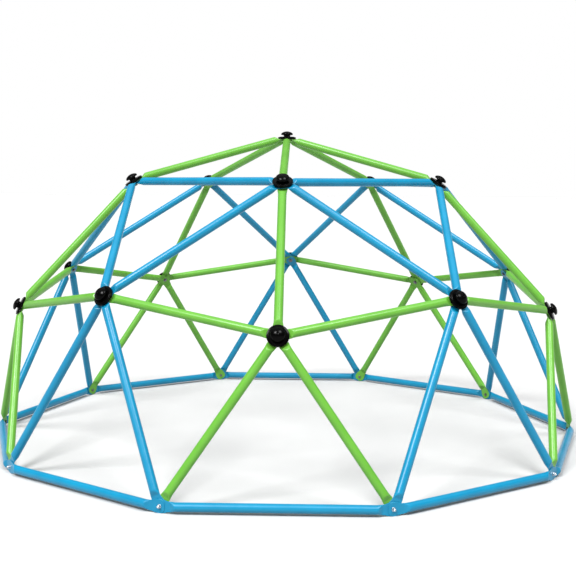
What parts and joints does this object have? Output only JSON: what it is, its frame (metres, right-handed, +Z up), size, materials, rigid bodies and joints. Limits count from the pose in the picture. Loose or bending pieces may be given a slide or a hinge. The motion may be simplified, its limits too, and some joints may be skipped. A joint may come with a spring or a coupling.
{
  "type": "dome climber",
  "caption": "Geodesic half-dome climbing frame of green and blue steel tubes with flattened bolted ends and black plastic hub caps.",
  "frame": {"origin": "on the ground, at the centre of the dome", "axes": "+Z up through the apex hub; -Y towards a five-way hub above a base window; +X towards a base joint"},
  "size_m": [3.0428, 2.9217, 1.5764],
  "materials": {
    "green_tube": "gloss powder coat",
    "blue_tube": "gloss powder coat",
    "black_plastic": "glossy moulded",
    "zinc_steel": "zinc plated"
  },
  "bodies": {
    "root": {"apex_rib_1": "green_tube", "apex_rib_2": "green_tube", "apex_rib_3": "green_tube", "apex_rib_4": "green_tube", "apex_rib_5": "green_tube", "base_bolts": "zinc_steel", "base_cap_nuts": "zinc_steel", "base_inner_washers": "zinc_steel", "base_outer_washers": "zinc_steel", "base_ring_inner_1": "blue_tube", "base_ring_inner_2": "blue_tube", "base_ring_inner_3": "blue_tube", "base_ring_inner_4": "blue_tube", "base_ring_inner_5": "blue_tube", "base_ring_outer_1": "blue_tube", "base_ring_outer_2": "blue_tube", "base_ring_outer_3": "blue_tube", "base_ring_outer_4": "blue_tube", "base_ring_outer_5": "blue_tube", "blue_legs_1": "blue_tube", "blue_legs_2": "blue_tube", "blue_legs_3": "blue_tube", "blue_legs_4": "blue_tube", "blue_legs_5": "blue_tube", "crown_ring_1": "blue_tube", "crown_ring_2": "blue_tube", "crown_ring_3": "blue_tube", "crown_ring_4": "blue_tube", "crown_ring_5": "blue_tube", "green_legs_1": "green_tube", "green_legs_2": "green_tube", "green_legs_3": "green_tube", "green_legs_4": "green_tube", "green_legs_5": "green_tube", "hub_bolts": "zinc_steel", "hub_dishes": "black_plastic", "hub_knob_nuts": "zinc_steel", "hub_knobs": "black_plastic", "hub_washers": "zinc_steel", "mid_ring_left_1": "green_tube", "mid_ring_left_2": "green_tube", "mid_ring_left_3": "green_tube", "mid_ring_left_4": "green_tube", "mid_ring_left_5": "green_tube", "mid_ring_right_1": "green_tube", "mid_ring_right_2": "green_tube", "mid_ring_right_3": "green_tube", "mid_ring_right_4": "green_tube", "mid_ring_right_5": "green_tube", "shoulder_braces_1": "blue_tube", "shoulder_braces_2": "blue_tube", "shoulder_braces_3": "blue_tube", "shoulder_braces_4": "blue_tube", "shoulder_braces_5": "blue_tube", "shoulder_rib_1": "green_tube", "shoulder_rib_2": "green_tube", "shoulder_rib_3": "green_tube", "shoulder_rib_4": "green_tube", "shoulder_rib_5": "green_tube"}
  },
  "joints": []
}
